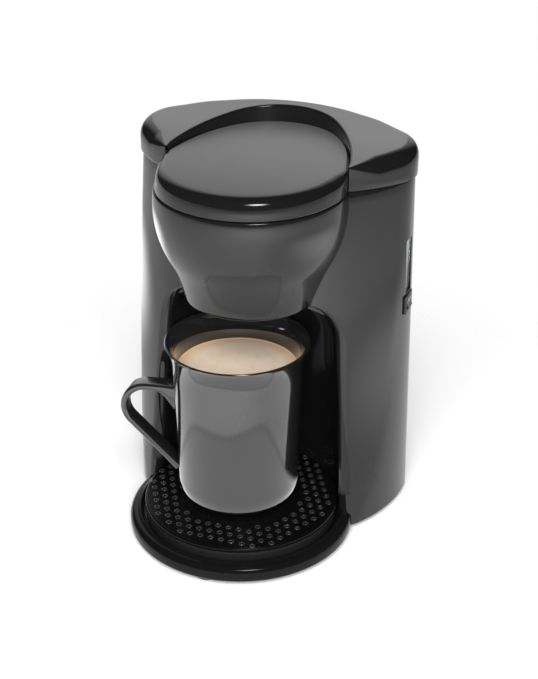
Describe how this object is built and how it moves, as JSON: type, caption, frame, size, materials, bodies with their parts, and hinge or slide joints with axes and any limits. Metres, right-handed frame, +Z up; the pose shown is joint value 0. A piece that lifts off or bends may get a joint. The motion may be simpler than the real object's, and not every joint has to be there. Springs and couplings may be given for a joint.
{
  "type": "drip coffee maker",
  "caption": "Small black drip coffee maker with an oval column, bulb-shaped brew head, hinged lid, round perforated drip plate and a glazed mug",
  "frame": {"origin": "Middle of the bounding box on the table plane, under the front of the column", "axes": "+Z up, front (mug side) faces -Y, +X to the right of someone facing the front"},
  "size_m": [0.154, 0.158, 0.21],
  "materials": {
    "base_plastic": "matt moulded",
    "foot_rubber": "matt",
    "black_gloss": "polished black",
    "tray_black": "semi gloss",
    "plate_black": "polished black",
    "tank_smoke": "smoky translucent",
    "clear_window": "clear polished",
    "switch_black": "fine matt",
    "rocker_black": "polished",
    "pin_steel": "drawn",
    "grey_plastic": "matt moulded",
    "basket_black": "satin",
    "frame_black": "satin",
    "gold_mesh": "woven mesh",
    "valve_white": "matt",
    "silicone": "matt translucent",
    "clip_steel": "zinc plated",
    "heater_aluminium": "extruded",
    "bracket_steel": "zinc plated",
    "thermostat_body": "dull",
    "fuse_sleeve": "woven sleeve",
    "terminal_cream": "matt",
    "gland_black": "matt",
    "screw_steel": "zinc plated",
    "mug_glaze": "glossy black glaze"
  },
  "bodies": {
    "machine": {"base_plate": "base_plastic", "feet": "foot_rubber", "base_ring": "black_gloss", "drip_tray": "tray_black", "drip_plate": "plate_black", "column_shell": "black_gloss", "brew_head": "black_gloss", "water_tank": "tank_smoke", "level_window": "clear_window", "switch_body": "switch_black", "lid_pin": "pin_steel", "filter_basket": "basket_black", "filter_frame": "frame_black", "filter_mesh": "gold_mesh", "check_valve": "valve_white", "inlet_hose": "silicone", "riser_tube": "silicone", "hose_clips": "clip_steel", "flow_heater": "heater_aluminium", "heater_bracket": "bracket_steel", "thermostat": "thermostat_body", "thermal_fuse": "fuse_sleeve", "terminal_block": "terminal_cream", "cord_gland": "gland_black", "screws": "screw_steel"},
    "lid": {"lid": "black_gloss", "spray_head": "grey_plastic"},
    "rocker": {"rocker": "rocker_black"},
    "mug": {"mug": "mug_glaze"}
  },
  "joints": [
    {"name": "lid_hinge", "type": "hinge", "parent": "machine", "child": "lid", "pos_m": [0, 0.0723, 0.1924], "axis": [-1, 0, 0], "range_deg": [0, 80]},
    {"name": "power_rocker", "type": "hinge", "parent": "machine", "child": "rocker", "pos_m": [0.07289, 0.035, 0.12], "axis": [0, 1, 0], "range_deg": [0, 14]},
    {"name": "mug_slide", "type": "slide", "parent": "machine", "child": "mug", "axis": [0, -1, 0], "range_m": [0, 0.115]}
  ]
}
